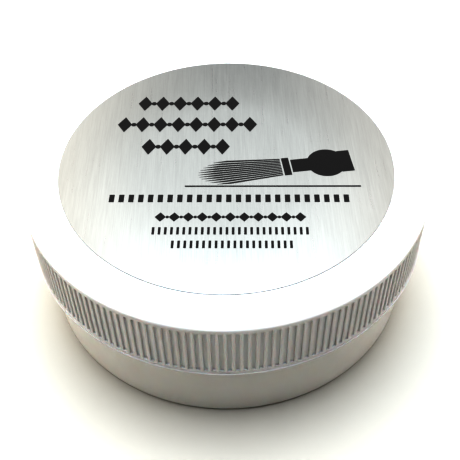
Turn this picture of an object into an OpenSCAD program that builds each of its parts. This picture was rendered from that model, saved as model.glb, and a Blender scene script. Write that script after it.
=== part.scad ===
// Low round screw-top tub of shaving soap.
// Millimetres. Z is the tub's axis and Z = 0 is the surface that it stands on.
// The soap is poured into the tub. The lid screws onto the neck, with a loose
// foam liner under its roof and a round foil label on its top.

/* [Tub] */
// Diameter of the tub's wall just under the lid
tub_d = 89.2; // [88.6:0.1:90.4]
// Diameter of the tub's wall at its foot
tub_foot_d = 87.6; // [86:0.1:89]
// Height of the shoulder that the neck stands on
shoulder_z = 18.6; // [16:0.2:26]
// Diameter of the neck, without its thread
neck_d = 86.6; // [86.2:0.1:86.8]
// Inside diameter of the bowl at its rim
bowl_rim_d = 83.4; // [82:0.1:84]
// Inside diameter of the bowl at its floor
bowl_floor_d = 82.6; // [80:0.1:83]
// Thickness of the floor
floor_t = 1.8; // [1.2:0.1:3]
// Radius of the round between the wall and the foot
foot_round = 1.3; // [1:0.1:3]
// Depth of the hollow under the floor
foot_hollow = 0.8; // [0.4:0.1:1.2]

/* [Lid] */
// Diameter over the bead at the lid's lower edge
lid_d = 93; // [92.6:0.1:94]
// Height of the lid
lid_h = 16; // [15:0.2:20]
// Thickness of the lid's roof
roof_t = 1.4; // [1:0.1:2]
// Radius of the round between the lid's top and its skirt
lid_round = 1.6; // [0.6:0.1:1.8]
// Number of grip ribs round the skirt
rib_count = 180; // [90:2:200]
// Depth of the grooves between the ribs
rib_depth = 0.5; // [0.2:0.05:0.6]

/* [Thread] */
// Rise of the thread in one turn
pitch = 5.08; // [4:0.01:6]
// Turns of thread on the neck and in the lid
thread_turns = 1.25; // [1:0.05:1.3]
// Height of one thread ridge above the wall that it stands on
thread_h = 1.2; // [0.8:0.1:1.2]
// Gap between the two threads' flanks when the lid is closed
flank_gap = 0.2; // [0.1:0.05:0.4]

/* [Soap] */
// Depth of the poured soap at its middle
soap_depth = 23.4; // [15:0.2:27]
// Height that the soap climbs where it meets the wall
soap_climb = 0.6; // [0.2:0.1:1]

/* [Liner and labels] */
// Thickness of the foam liner
liner_t = 0.7; // [0.5:0.1:1.2]
// Diameter of the label on the lid
top_label_d = 76.2; // [60:0.1:88]
// Diameter of the label under the tub
base_label_d = 70; // [40:1:76]
// Thickness of the label on the lid
foil_t = 0.12; // [0.08:0.01:0.2]
// Thickness of the label under the tub
paper_t = 0.1; // [0.08:0.01:0.2]
// Thickness of the ink on the label
ink_t = 0.03; // [0.02:0.01:0.06]
// Angle of the print on the lid, from the X axis
print_turn = -1.6; // [-180:0.1:180]

/* [Hidden] */
$fn = 96;

// Heights
lid_gap = 0.4;                       // under the lid's edge
face_gap = 0.05;                     // each side of the liner
lid_z = shoulder_z + lid_gap;
lid_top = lid_z + lid_h;
roof_z = lid_top - roof_t;
liner_z = roof_z - face_gap - liner_t;
rim_z = liner_z - face_gap;
floor_z = foot_hollow + floor_t;

// Tub radii
tub_r = tub_d / 2;
foot_r = tub_foot_d / 2;
neck_r = neck_d / 2;
bowl_rim_r = bowl_rim_d / 2;
bowl_floor_r = bowl_floor_d / 2;
bowl_round = 3;
edge_round = 0.4;
foot_ring_w = 2.6;                   // from the hollow to the start of the round
hollow_slope = 0.6;

// Lid radii
running_gap = 0.35;                  // between a thread's crest and the other wall
bead_h = 0.35;                       // a thin flange round the lower edge
bead_round = 0.12;
band_h = 1.2;                        // smooth edge below the grooves, with the bead
smooth_top = 2;                      // smooth edge above the grooves, with the round
bead_proud = 0.3;
grip_r = lid_d / 2 - bead_proud;
lid_in_r = neck_r + thread_h + running_gap;
lid_in_round = 0.6;
lead_in = 0.5;

// Thread: each ridge is a trapezoid that leans in as it rises from its wall
root_half = 1.1;
flank_lean = 0.5;
steps_per_turn = 48;
fade_angle = 24;
buried = 0.3;                        // how far a ridge's foot sinks into its wall
crest_half = root_half - flank_lean * thread_h;
neck_thread_z = rim_z - root_half - edge_round - pitch * thread_turns;
meshed_half = root_half + crest_half - flank_lean * running_gap;
lid_thread_z = neck_thread_z - meshed_half - flank_gap;
lid_thread_from = -60;

// Points along an arc in the plane
function arc(x, y, r, from, to, steps = 6) =
    [for (i = [0 : steps]) let (a = from + (to - from) * i / steps) [x + r * cos(a), y + r * sin(a)]];

// A helical ridge on a wall of radius wall_r. side is 1 for a ridge that faces
// outward and -1 for one that faces inward. z_at_zero is its height at angle 0.
module thread_ridge(wall_r, side, z_at_zero, from, to) {
    steps = round((to - from) / 360 * steps_per_turn);
    foot = wall_r - side * buried;
    foot_half = root_half + flank_lean * buried;
    points = [
        for (i = [0 : steps])
            let (
                a = from + (to - from) * i / steps,
                grown = min(1, (a - from) / fade_angle, (to - a) / fade_angle),
                rise = (thread_h + buried - 0.1) * max(0, grown) + 0.1,
                crest = foot + side * rise,
                half = foot_half - flank_lean * rise,
                z = z_at_zero + pitch * a / 360
            )
            each [
                [foot * cos(a), foot * sin(a), z - foot_half],
                [crest * cos(a), crest * sin(a), z - half],
                [crest * cos(a), crest * sin(a), z + half],
                [foot * cos(a), foot * sin(a), z + foot_half],
            ]
    ];
    walls = [
        for (i = [0 : steps - 1], k = [0 : 3])
            let (a = 4 * i + k, b = 4 * i + (k + 1) % 4)
            each [[a, b, b + 4], [a, b + 4, a + 4]]
    ];
    last = 4 * steps;
    ends = [[0, 3, 2, 1], [last, last + 1, last + 2, last + 3]];
    faces = concat(walls, ends);
    polyhedron(points, side > 0 ? faces : [for (f = faces) [for (k = [len(f) - 1 : -1 : 0]) f[k]]]);
}

// Outline of the ribbed skirt, seen from above. Its tips stand past the skirt's
// wall, so the ribs' crests are the round wall itself.
module rib_outline() {
    step = 360 / rib_count;
    tip_half = 0.2 * step;
    root_half_angle = 0.26 * step;
    tip_r = grip_r + 0.05;
    root_r = grip_r - rib_depth;
    polygon([
        for (i = [0 : rib_count - 1])
            let (a = (i + 0.5) * step)
            each [
                [root_r * cos(a - root_half_angle), root_r * sin(a - root_half_angle)],
                [tip_r * cos(a - tip_half), tip_r * sin(a - tip_half)],
                [tip_r * cos(a + tip_half), tip_r * sin(a + tip_half)],
                [root_r * cos(a + root_half_angle), root_r * sin(a + root_half_angle)],
            ]
    ]);
}

module tub() {
    color("whitesmoke") {
        rotate_extrude()
            polygon(concat(
                [[0, foot_hollow]],
                [[foot_r - foot_round - foot_ring_w - hollow_slope, foot_hollow]],
                [[foot_r - foot_round - foot_ring_w, 0]],
                arc(foot_r - foot_round, foot_round, foot_round, -90, 0),
                arc(tub_r - edge_round, shoulder_z - edge_round, edge_round, 0, 90, 3),
                [[neck_r, shoulder_z]],
                arc(neck_r - edge_round, rim_z - edge_round, edge_round, 0, 90, 3),
                arc(bowl_rim_r + edge_round, rim_z - edge_round, edge_round, 90, 180, 3),
                arc(bowl_floor_r - bowl_round, floor_z + bowl_round, bowl_round, 0, -90),
                [[0, floor_z]]
            ));
        thread_ridge(neck_r, 1, neck_thread_z, 0, 360 * thread_turns);
    }
}

module soap_puck() {
    wall_gap = 0.1;
    top_z = floor_z + soap_depth;
    slope = (bowl_rim_r - bowl_floor_r) / (rim_z - floor_z);
    top_r = bowl_floor_r + slope * soap_depth - wall_gap;
    climb_w = 3;
    color("ivory")
        rotate_extrude()
            polygon(concat(
                [[0, floor_z]],
                arc(bowl_floor_r - bowl_round, floor_z + bowl_round, bowl_round - wall_gap, -90, 0),
                [[top_r, top_z + soap_climb]],
                [[top_r - climb_w / 3, top_z + soap_climb / 3]],
                [[top_r - climb_w, top_z]],
                [[0, top_z]]
            ));
}

module lid() {
    groove_z = lid_z + band_h;
    groove_h = lid_top - smooth_top - groove_z;
    color("white") {
        difference() {
            rotate_extrude()
                polygon(concat(
                    [[0, roof_z]],
                    arc(lid_in_r - lid_in_round, roof_z - lid_in_round, lid_in_round, 90, 0, 3),
                    [[lid_in_r, lid_z + lead_in]],
                    [[lid_in_r + lead_in, lid_z]],
                    arc(lid_d / 2 - bead_round, lid_z + bead_round, bead_round, -90, 0, 3),
                    arc(lid_d / 2 - bead_round, lid_z + bead_h - bead_round, bead_round, 0, 90, 3),
                    [[grip_r, lid_z + bead_h]],
                    arc(grip_r - lid_round, lid_top - lid_round, lid_round, 0, 90, 5),
                    [[0, lid_top]]
                ));
            translate([0, 0, groove_z])
                linear_extrude(groove_h)
                    difference() {
                        circle(lid_d / 2 + 1);
                        rib_outline();
                    }
        }
        thread_ridge(lid_in_r, -1, lid_thread_z, lid_thread_from, lid_thread_from + 360 * thread_turns);
    }
}

module lid_liner() {
    liner_r = lid_in_r - 0.45;
    color("snow")
        translate([0, 0, liner_z])
            cylinder(h = liner_t, r = liner_r);
}

module top_label() {
    color("silver")
        translate([0, 0, lid_top])
            cylinder(h = foil_t, r = top_label_d / 2);
}

// A row of upright lozenges with a dot between each two
module lozenge_row(count, step, height, dot_r) {
    width = step * 0.78;
    first = -(count - 1) / 2 * step;
    for (i = [0 : count - 1])
        translate([first + i * step, 0])
            polygon([[-width / 2, 0], [0, -height / 2], [width / 2, 0], [0, height / 2]]);
    for (i = [0 : count - 2])
        translate([first + (i + 0.5) * step, 0])
            polygon(arc(0, 0, dot_r, 0, 345, 23));
}

// A row of short upright bars
module bar_row(count, step, height, width) {
    first = -(count - 1) / 2 * step;
    for (i = [0 : count - 1])
        translate([first + i * step, 0])
            square([width, height], center = true);
}

// A shaving brush lying on its side, with its tuft at the left
module lying_brush() {
    locks = 11;
    tuft_len = 19;
    tuft_tip_h = 7.8;
    ferrule_h = 5.6;
    lock_w = 0.42;
    for (i = [0 : locks - 1])
        let (
            across = (i + 0.5) / locks - 0.5,
            root_y = across * ferrule_h,
            tip_y = across * tuft_tip_h,
            tip_x = -tuft_len * (1 - pow(across, 2)),
            bend_x = 0.8 * tip_x
        )
        polygon([
            [0, root_y - lock_w / 3],
            [bend_x, tip_y - lock_w / 2],
            [tip_x, tip_y],
            [bend_x, tip_y + lock_w / 2],
            [0, root_y + lock_w / 3],
        ]);
    translate([0.4, -ferrule_h / 2])
        square([1.6, ferrule_h]);
    translate([2.4, -2])
        square([8, 4]);
    translate([10.4, 0])
        polygon(arc(0, 0, 4.4, 0, 354, 59));
    translate([13.4, -3.4])
        square([2.8, 6.8]);
}

module label_print() {
    color("black")
        translate([0, 0, lid_top + foil_t])
            rotate(print_turn)
                linear_extrude(ink_t) {
                    translate([-9.5, 21.4]) lozenge_row(6, 4.3, 5.4, 0.6);
                    translate([-9.5, 13.4]) lozenge_row(8, 4.3, 5.4, 0.6);
                    translate([-9.5, 5.4]) lozenge_row(5, 4.3, 5.4, 0.6);
                    translate([12.6, -1.6]) rotate(8) lying_brush();
                    translate([10.5, -7.8]) square([39, 0.35], center = true);
                    translate([0.8, -11.6]) bar_row(25, 2.14, 2.2, 1.1);
                    translate([1.2, -17.2]) lozenge_row(11, 3, 2.6, 0.35);
                    translate([1.2, -21.2]) bar_row(26, 1.3, 2, 0.5);
                    translate([1.6, -25]) bar_row(20, 1.3, 2, 0.5);
                }
}

module base_label() {
    color("white")
        translate([0, 0, foot_hollow - paper_t])
            cylinder(h = paper_t, r = base_label_d / 2);
}

tub();
soap_puck();
lid();
lid_liner();
top_label();
label_print();
base_label();
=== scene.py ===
import math

import bpy
from mathutils import Matrix, Vector, noise


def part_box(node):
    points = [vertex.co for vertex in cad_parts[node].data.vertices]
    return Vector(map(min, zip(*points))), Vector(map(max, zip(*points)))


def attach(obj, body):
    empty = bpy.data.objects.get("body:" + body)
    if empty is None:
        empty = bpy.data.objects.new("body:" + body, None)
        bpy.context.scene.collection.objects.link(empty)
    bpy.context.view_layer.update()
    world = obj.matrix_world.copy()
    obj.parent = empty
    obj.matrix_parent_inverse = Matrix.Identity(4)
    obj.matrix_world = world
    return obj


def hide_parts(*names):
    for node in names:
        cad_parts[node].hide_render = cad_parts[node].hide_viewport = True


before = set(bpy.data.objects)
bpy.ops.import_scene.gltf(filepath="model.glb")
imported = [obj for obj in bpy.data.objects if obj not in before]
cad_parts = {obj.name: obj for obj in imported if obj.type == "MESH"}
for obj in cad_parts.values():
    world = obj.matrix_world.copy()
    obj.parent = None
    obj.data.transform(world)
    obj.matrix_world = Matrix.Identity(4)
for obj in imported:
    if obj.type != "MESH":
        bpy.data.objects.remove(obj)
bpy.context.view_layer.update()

# The looks of a low round tub of shaving soap with a ribbed screw lid.
# Metres, +Z up, the tub's foot on Z = 0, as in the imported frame.

# ---------------------------------------------------------------- dimensions

MM = 0.001

_, tub_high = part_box("tub")
lid_low, lid_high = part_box("lid")
soap_low, soap_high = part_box("soap_puck")
liner_low, liner_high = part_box("lid_liner")
foil_low, foil_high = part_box("top_label")
paper_low, paper_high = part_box("base_label")

TUB_R = tub_high.x                      # wall under the lid
FOOT_R = TUB_R - 0.8 * MM               # wall at the foot
RIM_Z = tub_high.z
SHOULDER_Z = lid_low.z - 0.4 * MM
NECK_R = TUB_R - 1.3 * MM
FLOOR_Z = soap_low.z
BOWL_RIM_R = 41.7 * MM
BOWL_FLOOR_R = 41.3 * MM
BOWL_ROUND = 3 * MM                     # between the bowl's wall and its floor
FOOT_HOLLOW = paper_high.z

LID_R = lid_high.x                      # over the bead at the lower edge
LID_Z = lid_low.z
LID_TOP = lid_high.z
GRIP_R = LID_R - 0.3 * MM               # over the ribs
LID_IN_R = NECK_R + 1.55 * MM
ROOF_Z = liner_high.z + 0.05 * MM

PITCH = 5.08 * MM                       # of the screw thread
THREAD_H = 1.2 * MM
THREAD_DEGREES = 450
NECK_THREAD_Z = RIM_Z - 1.5 * MM - PITCH * THREAD_DEGREES / 360
LID_THREAD_Z = NECK_THREAD_Z - 1.625 * MM
LID_THREAD_FROM = -60
THREAD_FADE = 24                        # degrees over which a thread's end dies away
THREAD_RINGS = 0.17 * MM                # height between the rings of a threaded wall

RIBS = 180
RIB_DEPTH = 0.42 * MM
RIB_HALF = 0.27                         # half a rib's width, in shares of the ribs' pitch
RIB_FAN = (-90, -74, -50, -20, 20, 50, 74, 90)   # sampled angles across a rib's back, 0 at its middle
ROUND_STEPS = 2 * RIBS                  # points round every plain ring
PRINT_TURN = math.radians(-1.6)


# ------------------------------------------------------------------- helpers

def smooth(edge0, edge1, x):
    """0 below edge0, 1 above edge1, and an even ramp between them."""
    t = min(1.0, max(0.0, (x - edge0) / (edge1 - edge0)))
    return t * t * (3 - 2 * t)


def arc(r, z, radius, start, end, steps=6):
    """Points (radius, height) along an arc round (r, z); angles are in degrees."""
    angles = [math.radians(start + (end - start) * i / steps) for i in range(steps + 1)]
    return [(r + radius * math.cos(a), z + radius * math.sin(a)) for a in angles]


def ring(r, z, steps=ROUND_STEPS):
    """A round ring of points."""
    turns = [2 * math.pi * i / steps for i in range(steps)]
    return [(r * math.cos(a), r * math.sin(a), z) for a in turns]


def shaped_ring(radius_at, z, angles):
    """A ring whose radius follows radius_at(angle in degrees, z)."""
    points = []
    for degrees in angles:
        r = radius_at(degrees, z)
        a = math.radians(degrees)
        points.append((r * math.cos(a), r * math.sin(a), z))
    return points


def bridge(faces, lower, upper):
    """Joins two rings of vertex numbers. One ring may be a single point or a multiple of the other."""
    n, m = len(lower), len(upper)
    if m == 1:
        faces.extend((lower[i], lower[(i + 1) % n], upper[0]) for i in range(n))
    elif n == 1:
        faces.extend((lower[0], upper[(i + 1) % m], upper[i]) for i in range(m))
    elif n == m:
        faces.extend((lower[i], lower[(i + 1) % n], upper[(i + 1) % m], upper[i]) for i in range(n))
    elif n > m:
        k = n // m
        for j in range(m):
            fine = [lower[(j * k + i) % n] for i in range(k + 1)]
            middle = k // 2
            faces.extend((fine[i], fine[i + 1], upper[j]) for i in range(middle))
            faces.append((fine[middle], upper[(j + 1) % m], upper[j]))
            faces.extend((fine[i], fine[i + 1], upper[(j + 1) % m]) for i in range(middle, k))
    else:
        k = m // n
        for j in range(n):
            fine = [upper[(j * k + i) % m] for i in range(k + 1)]
            middle = k // 2
            faces.extend((fine[i + 1], fine[i], lower[j]) for i in range(middle))
            faces.append((lower[j], lower[(j + 1) % n], fine[middle]))
            faces.extend((fine[i + 1], fine[i], lower[(j + 1) % n]) for i in range(middle, k))


def mesh_of_rings(name, rings, sharp_angle=40):
    """A closed mesh from rings that run from the axis below, outward, and back to the axis above."""
    points, faces, rows = [], [], []
    for points_of_ring in rings:
        rows.append(range(len(points), len(points) + len(points_of_ring)))
        points.extend(points_of_ring)
    for lower, upper in zip(rows, rows[1:]):
        bridge(faces, lower, upper)
    mesh = bpy.data.meshes.new(name)
    mesh.from_pydata(points, [], faces)
    mesh.update()
    mesh.shade_smooth()
    mesh.set_sharp_from_angle(angle=math.radians(sharp_angle))
    piece = bpy.data.objects.new(name, mesh)
    bpy.context.scene.collection.objects.link(piece)
    return piece


def between(low, high, step):
    """Values from low to high, about a step apart, without the two ends."""
    count = max(2, round((high - low) / step))
    return [low + (high - low) * i / count for i in range(1, count)]


def rings_along(profile):
    """Plain rings through a list of (radius, height); a radius of 0 is a point on the axis."""
    return [[(0, 0, z)] if r < 1e-9 else ring(r, z) for r, z in profile]


# ------------------------------------------------------------------- shapes

def thread_rise(degrees, z, z_at_zero, start):
    """Height of a thread ridge above its wall at an angle and a height."""
    turn = round((z - z_at_zero) / PITCH - degrees / 360)
    along = degrees + 360 * turn
    grown = min(along - start, start + THREAD_DEGREES - along) / THREAD_FADE
    if grown <= 0:
        return 0.0
    centre = z_at_zero + PITCH * along / 360
    flank = 1 - smooth(0.45 * MM, 1.15 * MM, abs(z - centre))
    return THREAD_H * smooth(0, 1, grown) * flank


def rib_height(offset):
    """Height of a rib's back, 0 to 1, at an offset from its middle in shares of the ribs' pitch."""
    across = min(1.0, abs(offset) / RIB_HALF)
    return (1 - across ** 5) ** 0.6


def rib_angles():
    """Angles round the skirt: close together on the ribs, with two in each groove."""
    step = 360 / RIBS
    offsets = [RIB_HALF * math.sin(math.radians(a)) for a in RIB_FAN] + [0.40, 0.60]
    return [(i + 0.5 + offset) * step for i in range(RIBS) for offset in offsets]


def make_lid():
    """The lid: flat roof with a soft sloping edge, ribbed skirt with a ledge and a bead, threaded inside."""
    plain = [360 * i / ROUND_STEPS for i in range(ROUND_STEPS)]
    ribbed = rib_angles()
    rib_step = 360 / RIBS
    groove_low = LID_Z + 1.2 * MM
    groove_high = LID_TOP - 2 * MM
    roof_round = 0.6 * MM               # between the roof and the threaded wall
    mouth_h = 0.5 * MM                  # below this height the wall opens out
    bead_high = LID_Z + 0.35 * MM
    bead_round = 0.12 * MM
    bead_fillet = 0.06 * MM             # between the bead and the smooth band above it
    slope_facing = 62                   # degrees above the horizon that the slope round the top faces
    slope_round = 0.5 * MM              # between the skirt and that slope
    slope_foot = LID_TOP - 1.32 * MM
    top_round = 2 * MM                  # between that slope and the flat top
    flat_r = GRIP_R - 2.42 * MM

    def inner_radius(degrees, z):
        return LID_IN_R - thread_rise(degrees, z, LID_THREAD_Z, LID_THREAD_FROM)

    def outer_radius(degrees, z):
        offset = (degrees / rib_step) % 1 - 0.5
        end = min(z - groove_low, groove_high - z)
        depth = RIB_DEPTH * smooth(-0.02 * MM, 0.14 * MM, end)
        return GRIP_R - depth * (1 - rib_height(offset))

    rings = rings_along([(0, ROOF_Z), (20 * MM, ROOF_Z)])
    rings += rings_along(arc(LID_IN_R - roof_round, ROOF_Z - roof_round, roof_round, 90, 0, 5))
    wall = between(LID_Z + mouth_h, ROOF_Z - roof_round, THREAD_RINGS)
    rings += [shaped_ring(inner_radius, z, plain) for z in reversed(wall)]
    rings += rings_along([(LID_IN_R, LID_Z + mouth_h), (LID_IN_R + 0.42 * MM, LID_Z + 0.06 * MM)])
    rings += rings_along([(LID_IN_R + 0.55 * MM, LID_Z), (GRIP_R, LID_Z)])
    rings += rings_along(arc(LID_R - bead_round, LID_Z + bead_round, bead_round, -80, 0, 4))
    rings += rings_along(arc(LID_R - bead_round, bead_high - bead_round, bead_round, 0, 90, 4))
    rings += rings_along(arc(GRIP_R + bead_fillet, bead_high + bead_fillet, bead_fillet, 270, 180, 3))
    rings += rings_along([(GRIP_R, groove_low - 0.16 * MM), (GRIP_R, groove_low - 0.04 * MM)])
    ends = [d * MM for d in (0.0, 0.05, 0.10, 0.15)]
    heights = [groove_low + d for d in ends]
    heights += between(groove_low + ends[-1], groove_high - ends[-1], 2.4 * MM)
    heights += [groove_high - d for d in reversed(ends)]
    rings += [shaped_ring(outer_radius, z, ribbed) for z in heights]
    rings += rings_along([(GRIP_R, groove_high + 0.04 * MM), (GRIP_R, groove_high + 0.4 * MM)])
    rings += rings_along(arc(GRIP_R - slope_round, slope_foot, slope_round, 0, slope_facing, 8))
    rings += rings_along(arc(flat_r, LID_TOP - top_round, top_round, slope_facing, 90, 6))
    rings += rings_along([(39 * MM, LID_TOP), (20 * MM, LID_TOP), (0, LID_TOP)])
    return mesh_of_rings("ribbed_screw_lid", rings)


def make_tub():
    """The tub: foot ring round a hollow, leaning wall, shoulder, threaded neck, rounded rim and bowl."""
    plain = [360 * i / ROUND_STEPS for i in range(ROUND_STEPS)]
    foot_round = 1.3 * MM
    ring_in = FOOT_R - foot_round - 2.6 * MM
    hollow_r = ring_in - 0.6 * MM
    shoulder_round = 0.4 * MM
    neck_fillet = 0.3 * MM              # between the shoulder and the neck
    rim_round = 0.4 * MM

    def neck_radius(degrees, z):
        return NECK_R + thread_rise(degrees, z, NECK_THREAD_Z, 0)

    rings = rings_along([(0, FOOT_HOLLOW), (20 * MM, FOOT_HOLLOW), (36 * MM, FOOT_HOLLOW)])
    rings += rings_along([(hollow_r, FOOT_HOLLOW), (ring_in - 0.12 * MM, 0.12 * MM)])
    rings += rings_along([(ring_in, 0.03 * MM), (ring_in + 0.12 * MM, 0)])
    rings += rings_along(arc(FOOT_R - foot_round, foot_round, foot_round, -90, 0, 10))
    for share in (0.25, 0.5, 0.75):
        z = foot_round + share * (SHOULDER_Z - foot_round)
        rings += rings_along([(FOOT_R + share * (TUB_R - FOOT_R), z)])
    rings += rings_along(arc(TUB_R - shoulder_round, SHOULDER_Z - shoulder_round, shoulder_round, 0, 90, 6))
    rings += rings_along(arc(NECK_R + neck_fillet, SHOULDER_Z + neck_fillet, neck_fillet, 270, 180, 4))
    wall = between(SHOULDER_Z + neck_fillet, RIM_Z - rim_round, THREAD_RINGS)
    rings += [shaped_ring(neck_radius, z, plain) for z in wall]
    rings += rings_along(arc(NECK_R - rim_round, RIM_Z - rim_round, rim_round, 0, 90, 6))
    rings += rings_along(arc(BOWL_RIM_R + rim_round, RIM_Z - rim_round, rim_round, 90, 180, 6))
    rings += rings_along(arc(BOWL_FLOOR_R - BOWL_ROUND, FLOOR_Z + BOWL_ROUND, BOWL_ROUND, 0, -90, 8))
    rings += rings_along([(20 * MM, FLOOR_Z), (0, FLOOR_Z)])
    return mesh_of_rings("moulded_tub", rings)


def make_soap():
    """Poured soap: a skin with soft waves, burst bubbles and a lip where it clings to the wall."""
    top = soap_high.z - 0.6 * MM
    wall_r = soap_high.x
    bubble_count = 46
    golden_angle = 2.399963             # radians; it spreads the bubbles evenly
    bubbles = []
    for i in range(bubble_count):
        angle = golden_angle * i
        reach = wall_r * 0.93 * math.sqrt((i + 0.5) / bubble_count)
        drift = noise.noise(Vector((i * 1.7, 3.1, 0.4)))
        size = (0.35 + 0.55 * abs(noise.noise(Vector((0.3, i * 2.3, 5.2))))) * MM
        centre = Vector((reach * math.cos(angle + drift), reach * math.sin(angle + drift), 0))
        bubbles.append((centre, size))

    def stirred(x, y, r):
        """A faint two-armed swirl, away from the middle and the wall."""
        swirl = math.atan2(y, x) + r / (9 * MM)
        band = smooth(4 * MM, 14 * MM, r) * (1 - smooth(30 * MM, 40 * MM, r))
        return 0.10 * MM * math.sin(2 * swirl) * band

    def pitted(x, y):
        """Burst bubbles: a shallow pit with a low rim."""
        depth = 0.0
        for centre, size in bubbles:
            d = math.hypot(x - centre.x, y - centre.y)
            if d < 1.6 * size:
                rim = smooth(0.8 * size, 1.1 * size, d) * (1 - smooth(1.1 * size, 1.6 * size, d))
                depth -= 0.45 * size * (1 - smooth(0.3 * size, size, d))
                depth += 0.08 * size * rim
        return depth

    def height(x, y):
        r = math.hypot(x, y)
        waves = noise.noise(Vector((x / (11 * MM), y / (11 * MM), 0.0))) * 0.096 * MM
        skin = noise.noise(Vector((x / (2.2 * MM), y / (2.2 * MM), 4.0))) * 0.035 * MM
        sink = -0.28 * MM * (1 - smooth(0, 26 * MM, r))
        lip = 0.5 * MM * smooth(wall_r - 2.6 * MM, wall_r - 0.1 * MM, r) ** 2
        return top + stirred(x, y, r) + waves + skin + sink + lip + pitted(x, y)

    rings = rings_along([(0, FLOOR_Z), (20 * MM, FLOOR_Z)])
    rings += rings_along(arc(BOWL_FLOOR_R - BOWL_ROUND, FLOOR_Z + BOWL_ROUND, 2.9 * MM, -90, 0, 6))
    rings += rings_along([(wall_r - 0.1 * MM, FLOOR_Z + 12 * MM)])
    radii = [wall_r - d * MM for d in (0.0, 0.12, 0.3, 0.55, 0.85, 1.2, 1.6, 2.1, 2.6)]
    radii += list(reversed(between(0.8 * MM, wall_r - 2.6 * MM, 0.62 * MM)))
    for r in radii:
        rings.append([(x, y, height(x, y)) for x, y, _ in ring(r, 0)])
    rings.append([(0, 0, height(0, 0))])
    return mesh_of_rings("poured_soap", rings, sharp_angle=60)


def make_liner():
    """The foam disc, with the ring that the tub's rim presses into its underside."""
    low, high, r = liner_low.z, liner_high.z, liner_high.x
    dent = 0.14 * MM
    edge = 0.2 * MM
    rings = rings_along([(0, low), (20 * MM, low), (BOWL_RIM_R - 0.5 * MM, low)])
    rings += rings_along([(BOWL_RIM_R + 0.2 * MM, low + dent), (NECK_R - 0.2 * MM, low + dent)])
    rings += rings_along([(NECK_R + 0.5 * MM, low)])
    rings += rings_along(arc(r - edge, low + edge, edge, -90, 0, 4))
    rings += rings_along(arc(r - edge, high - edge, edge, 0, 90, 4))
    rings += rings_along([(20 * MM, high), (0, high)])
    return mesh_of_rings("foam_liner", rings)


def make_disc(name, low, high, r, edge):
    """A thin sticker with slightly rounded edges."""
    rings = rings_along([(0, low), (0.5 * r, low), (r - edge, low)])
    rings += rings_along([(r, low + edge)])
    rings += rings_along(arc(r - edge, high - edge, edge, 0, 90, 3))
    rings += rings_along([(0.5 * r, high), (0, high)])
    return mesh_of_rings(name, rings, sharp_angle=60)


# ---------------------------------------------------------------- materials

class Paint:
    """A material with a Principled shader and short calls for the nodes that feed it."""

    def __init__(self, name, **sockets):
        self.material = bpy.data.materials.new(name)
        self.material.use_nodes = True
        self.nodes = self.material.node_tree.nodes
        self.links = self.material.node_tree.links
        self.shader = self.nodes["Principled BSDF"]
        for socket, value in sockets.items():
            self.shader.inputs[socket.replace("_", " ")].default_value = value
        self.place = self.nodes.new("ShaderNodeTexCoord").outputs["Object"]

    def mapped(self, scale=(1, 1, 1), turn=0.0):
        node = self.nodes.new("ShaderNodeMapping")
        node.inputs["Scale"].default_value = scale
        node.inputs["Rotation"].default_value = (0, 0, turn)
        self.links.new(self.place, node.inputs["Vector"])
        return node.outputs["Vector"]

    def noise(self, size, detail=3.0, rough=0.5, vector=None):
        """Noise whose features are about size metres across."""
        node = self.nodes.new("ShaderNodeTexNoise")
        node.inputs["Scale"].default_value = 1 / size
        node.inputs["Detail"].default_value = detail
        node.inputs["Roughness"].default_value = rough
        self.links.new(vector or self.place, node.inputs["Vector"])
        return node.outputs["Fac"]

    def spots(self, size, vector=None):
        """Distance to the nearest of scattered points, in shares of their spacing."""
        node = self.nodes.new("ShaderNodeTexVoronoi")
        node.inputs["Scale"].default_value = 1 / size
        self.links.new(vector or self.place, node.inputs["Vector"])
        return node.outputs["Distance"]

    def ramp(self, value, stops):
        """stops are (position, number or colour)."""
        node = self.nodes.new("ShaderNodeValToRGB")
        elements = node.color_ramp.elements
        while len(elements) < len(stops):
            elements.new(0.5)
        for element, (position, colour) in zip(elements, stops):
            element.position = position
            element.color = (colour,) * 3 + (1,) if isinstance(colour, (int, float)) else (*colour, 1)
        self.links.new(value, node.inputs["Fac"])
        return node.outputs["Color"]

    def spread(self, value, low, high, from_low=0.3, from_high=0.7):
        """Maps a noise value onto the range low to high."""
        node = self.nodes.new("ShaderNodeMapRange")
        node.inputs["From Min"].default_value = from_low
        node.inputs["From Max"].default_value = from_high
        node.inputs["To Min"].default_value = low
        node.inputs["To Max"].default_value = high
        self.links.new(value, node.inputs["Value"])
        return node.outputs["Result"]

    def mix(self, share, first, second):
        """A colour between two, by share."""
        node = self.nodes.new("ShaderNodeMix")
        node.data_type = "RGBA"
        self.links.new(share, node.inputs["Factor"])
        for socket, value in ((node.inputs[6], first), (node.inputs[7], second)):
            if isinstance(value, tuple):
                socket.default_value = (*value, 1)
            else:
                self.links.new(value, socket)
        return node.outputs[2]

    def bump(self, height, distance, after=None, strength=1.0):
        """Adds a bump of that height in metres."""
        node = self.nodes.new("ShaderNodeBump")
        node.inputs["Strength"].default_value = strength
        node.inputs["Distance"].default_value = distance
        self.links.new(height, node.inputs["Height"])
        if after is not None:
            self.links.new(after, node.inputs["Normal"])
        return node.outputs["Normal"]

    def set(self, socket, value):
        self.links.new(value, self.shader.inputs[socket])


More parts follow.
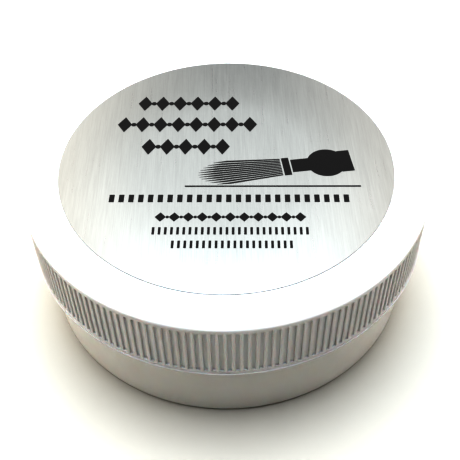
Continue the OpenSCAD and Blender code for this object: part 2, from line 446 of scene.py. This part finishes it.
def moulded_plastic(name, light, dark, roughness, grain):
    """White moulded polypropylene: faint flow clouds, a fine mould grain and slight scuffs."""
    paint = Paint(name, IOR=1.49, Subsurface_Weight=0.12, Subsurface_Scale=0.0015)
    clouds = paint.noise(14 * MM, detail=2)
    paint.set("Base Color", paint.ramp(clouds, [(0.35, dark), (0.65, light)]))
    scuffs = paint.noise(1.6 * MM, detail=6, rough=0.7, vector=paint.mapped((1, 1, 0.25)))
    paint.set("Roughness", paint.spread(scuffs, roughness - 0.05, roughness + 0.09))
    fine = paint.bump(paint.noise(0.28 * MM, detail=2), grain)
    paint.set("Normal", paint.bump(paint.noise(6 * MM, detail=1), 0.02 * MM, after=fine))
    return paint.material


def brushed_foil():
    """Silver film brushed from the label's front to its back."""
    paint = Paint("brushed_foil", Metallic=1.0, IOR=1.45)
    hairs = paint.noise(0.16 * MM, detail=3, rough=0.7, vector=paint.mapped((1, 0.018, 1), -PRINT_TURN))
    strokes = paint.noise(0.7 * MM, detail=4, rough=0.65, vector=paint.mapped((1, 0.04, 1), -PRINT_TURN))
    hair_shade = paint.mix(hairs, (0.300, 0.309, 0.307), (0.384, 0.393, 0.390))
    stroke_shade = paint.ramp(strokes, [(0.3, 0.955), (0.7, 1.0)])
    shade = paint.nodes.new("ShaderNodeVectorMath")
    shade.operation = "MULTIPLY"
    paint.links.new(hair_shade, shade.inputs[0])
    paint.links.new(stroke_shade, shade.inputs[1])
    paint.set("Base Color", shade.outputs["Vector"])
    paint.set("Roughness", paint.spread(strokes, 0.27, 0.32))
    first = paint.bump(hairs, 0.0028 * MM)
    paint.set("Normal", paint.bump(strokes, 0.002 * MM, after=first))
    return paint.material


def printing_ink():
    """Dense black ink, a little uneven where it lies on the brushed film."""
    paint = Paint("printing_ink", IOR=1.5)
    grain = paint.noise(0.35 * MM, detail=4, rough=0.7)
    paint.set("Base Color", paint.ramp(grain, [(0.3, 0.008), (0.7, 0.016)]))
    paint.set("Roughness", paint.spread(grain, 0.42, 0.6))
    paint.set("Normal", paint.bump(grain, 0.003 * MM))
    return paint.material


def shaving_soap():
    """Creamy soap, waxy where it is smooth, with darker flecks and pale bloom."""
    paint = Paint("shaving_soap", IOR=1.45, Subsurface_Weight=0.25, Subsurface_Scale=0.003)
    cream = paint.ramp(
        paint.noise(9 * MM, detail=5, rough=0.6),
        [(0.3, (0.80, 0.72, 0.54)), (0.55, (0.87, 0.81, 0.66)), (0.75, (0.92, 0.88, 0.77))],
    )
    bloom = paint.ramp(paint.noise(1.4 * MM, detail=4, rough=0.7), [(0.52, 0.0), (0.72, 0.6)])
    paint.set("Base Color", paint.mix(bloom, cream, (0.94, 0.92, 0.85)))
    paint.set("Roughness", paint.spread(paint.noise(3 * MM, detail=4), 0.42, 0.62))
    fine = paint.bump(paint.noise(0.5 * MM, detail=5, rough=0.65), 0.03 * MM)
    paint.set("Normal", paint.bump(paint.spots(0.9 * MM), 0.03 * MM, after=fine, strength=0.4))
    return paint.material


def liner_foam():
    """Closed-cell foam with a fine pitted face."""
    paint = Paint("liner_foam", IOR=1.45)
    cells = paint.spots(0.45 * MM)
    # The colour is darker in the middle of each cell, where the bump below makes a pit: painted shade in the
    # pits.
    paint.set("Base Color", paint.ramp(cells, [(0.0, (0.74, 0.76, 0.77)), (0.5, (0.86, 0.87, 0.87))]))
    paint.set("Roughness", paint.spread(paint.noise(2 * MM), 0.55, 0.75))
    paint.set("Normal", paint.bump(cells, 0.05 * MM))
    return paint.material


def label_paper():
    """Smooth uncoated label paper with short fibres."""
    paint = Paint("label_paper", IOR=1.45)
    fibres = paint.noise(0.5 * MM, detail=6, rough=0.75, vector=paint.mapped((1, 0.4, 1)))
    paint.set("Base Color", paint.ramp(fibres, [(0.3, (0.80, 0.79, 0.75)), (0.7, (0.87, 0.86, 0.83))]))
    paint.set("Roughness", paint.spread(fibres, 0.75, 0.9))
    paint.set("Normal", paint.bump(fibres, 0.012 * MM))
    return paint.material


def floor_paper():
    """The pale matt sweep that the tub stands on."""
    paint = Paint("floor_paper", IOR=1.4)
    clouds = paint.noise(0.2, detail=2)
    paint.set("Base Color", paint.ramp(clouds, [(0.3, (0.640, 0.628, 0.586)), (0.7, (0.650, 0.638, 0.596))]))
    paint.set("Roughness", paint.spread(paint.noise(0.05, detail=2), 0.6, 0.7))
    return paint.material


# ------------------------------------------------------------------- pieces

def dress(piece, material, body, slot, *nodes):
    """Gives a piece its material and the body that it rides on, and hides the nodes it stands for; slot is
    not used.
    """
    piece.data.materials.clear()
    piece.data.materials.append(material)
    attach(piece, body)
    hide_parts(*nodes)


lid_white = moulded_plastic(
    "lid_polypropylene",
    light=(0.715, 0.715, 0.705),
    dark=(0.685, 0.685, 0.675),
    roughness=0.38,
    grain=0.004 * MM,
)
tub_white = moulded_plastic(
    "tub_polypropylene",
    light=(0.77, 0.765, 0.74),
    dark=(0.74, 0.735, 0.71),
    roughness=0.34,
    grain=0.003 * MM,
)

dress(make_tub(), tub_white, "tub", "tub_plastic", "tub")
dress(make_soap(), shaving_soap(), "tub", "soap", "soap_puck")
dress(make_lid(), lid_white, "lid", "lid_plastic", "lid")
dress(make_liner(), liner_foam(), "liner", "liner_foam", "lid_liner")

foil = make_disc("foil_label", foil_low.z, foil_high.z, foil_high.x, 0.03 * MM)
dress(foil, brushed_foil(), "lid", "label_foil", "top_label")

paper = make_disc("underside_label", paper_low.z, paper_high.z, paper_high.x, 0.02 * MM)
dress(paper, label_paper(), "tub", "label_paper", "base_label")

ink_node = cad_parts["label_print"]
ink_node.data.materials.clear()
ink_node.data.materials.append(printing_ink())


# -------------------------------------------------------------------- stage

def make_floor():
    mesh = bpy.data.meshes.new("floor")
    reach = 3.0
    corners = [(-reach, -reach, 0), (reach, -reach, 0), (reach, reach, 0), (-reach, reach, 0)]
    mesh.from_pydata(corners, [], [(0, 1, 2, 3)])
    mesh.materials.append(floor_paper())
    floor = bpy.data.objects.new("floor", mesh)
    bpy.context.scene.collection.objects.link(floor)


def make_world(walls):
    """Soft light from the glowing walls of a light tent.

    Each wall is a direction, the cosines at which its glow starts and is full, a strength and a colour.
    """
    dim = (0.02, 0.02, 0.02)            # between the walls
    world = bpy.data.worlds.new("light_tent")
    bpy.context.scene.world = world
    world.use_nodes = True
    nodes, links = world.node_tree.nodes, world.node_tree.links
    place = nodes.new("ShaderNodeTexCoord").outputs["Generated"]
    glow = None
    for direction, start, full, strength, colour in walls:
        facing = nodes.new("ShaderNodeVectorMath")
        facing.operation = "DOT_PRODUCT"
        facing.inputs[1].default_value = Vector(direction).normalized()
        links.new(place, facing.inputs[0])
        ramp = nodes.new("ShaderNodeMapRange")
        ramp.interpolation_type = "SMOOTHSTEP"
        ramp.inputs["From Min"].default_value = start
        ramp.inputs["From Max"].default_value = full
        ramp.inputs["To Max"].default_value = strength
        links.new(facing.outputs["Value"], ramp.inputs["Value"])
        tint = nodes.new("ShaderNodeVectorMath")
        tint.operation = "MULTIPLY_ADD"
        links.new(ramp.outputs["Result"], tint.inputs[0])
        tint.inputs[1].default_value = colour
        if glow is None:
            tint.inputs[2].default_value = dim
        else:
            links.new(glow, tint.inputs[2])
        glow = tint.outputs["Vector"]
    links.new(glow, nodes["Background"].inputs["Color"])


def make_camera():
    """The photograph's view: from the front, looking down at about 45 degrees."""
    tilt = math.radians(47.6)           # below the horizon
    roll = math.radians(-1.2)
    off_centre = 0.0006
    distance_in_front = 0.1313
    height_above_label = 0.1208
    camera = bpy.data.cameras.new("camera")
    camera.sensor_width = 36
    camera.lens = 60.8
    camera.clip_start = 0.01
    camera.clip_end = 20
    holder = bpy.data.objects.new("camera", camera)
    place = Vector((off_centre, -distance_in_front, foil_high.z + height_above_label))
    turn = Matrix.Rotation(math.pi / 2 - tilt, 4, "X") @ Matrix.Rotation(roll, 4, "Z")
    holder.matrix_world = Matrix.Translation(place) @ turn
    bpy.context.scene.collection.objects.link(holder)
    bpy.context.scene.camera = holder


make_floor()
make_world([
    ((0, -0.04, 1), 0.86, 0.99, 5.1, (0.90, 1.01, 1.15)),        # roof
    ((0, 0.44, 0.9), 0.86, 0.99, 1.7, (1.0, 1.0, 1.0)),          # roof, towards the back
    ((0, 1, 0.15), 0.20, 0.85, 0.80, (0.92, 1.0, 1.08)),         # back
    ((-1, 0.45, 0.22), 0.30, 0.90, 2.20, (1.10, 1.0, 0.90)),       # left
    ((1, 0.5, 0.3), 0.30, 0.90, 1.60, (1.10, 1.0, 0.91)),        # right
])
make_camera()
bpy.context.scene.view_settings.view_transform = "Standard"
bpy.context.scene.view_settings.look = "None"
bpy.context.scene.view_settings.gamma = 0.40
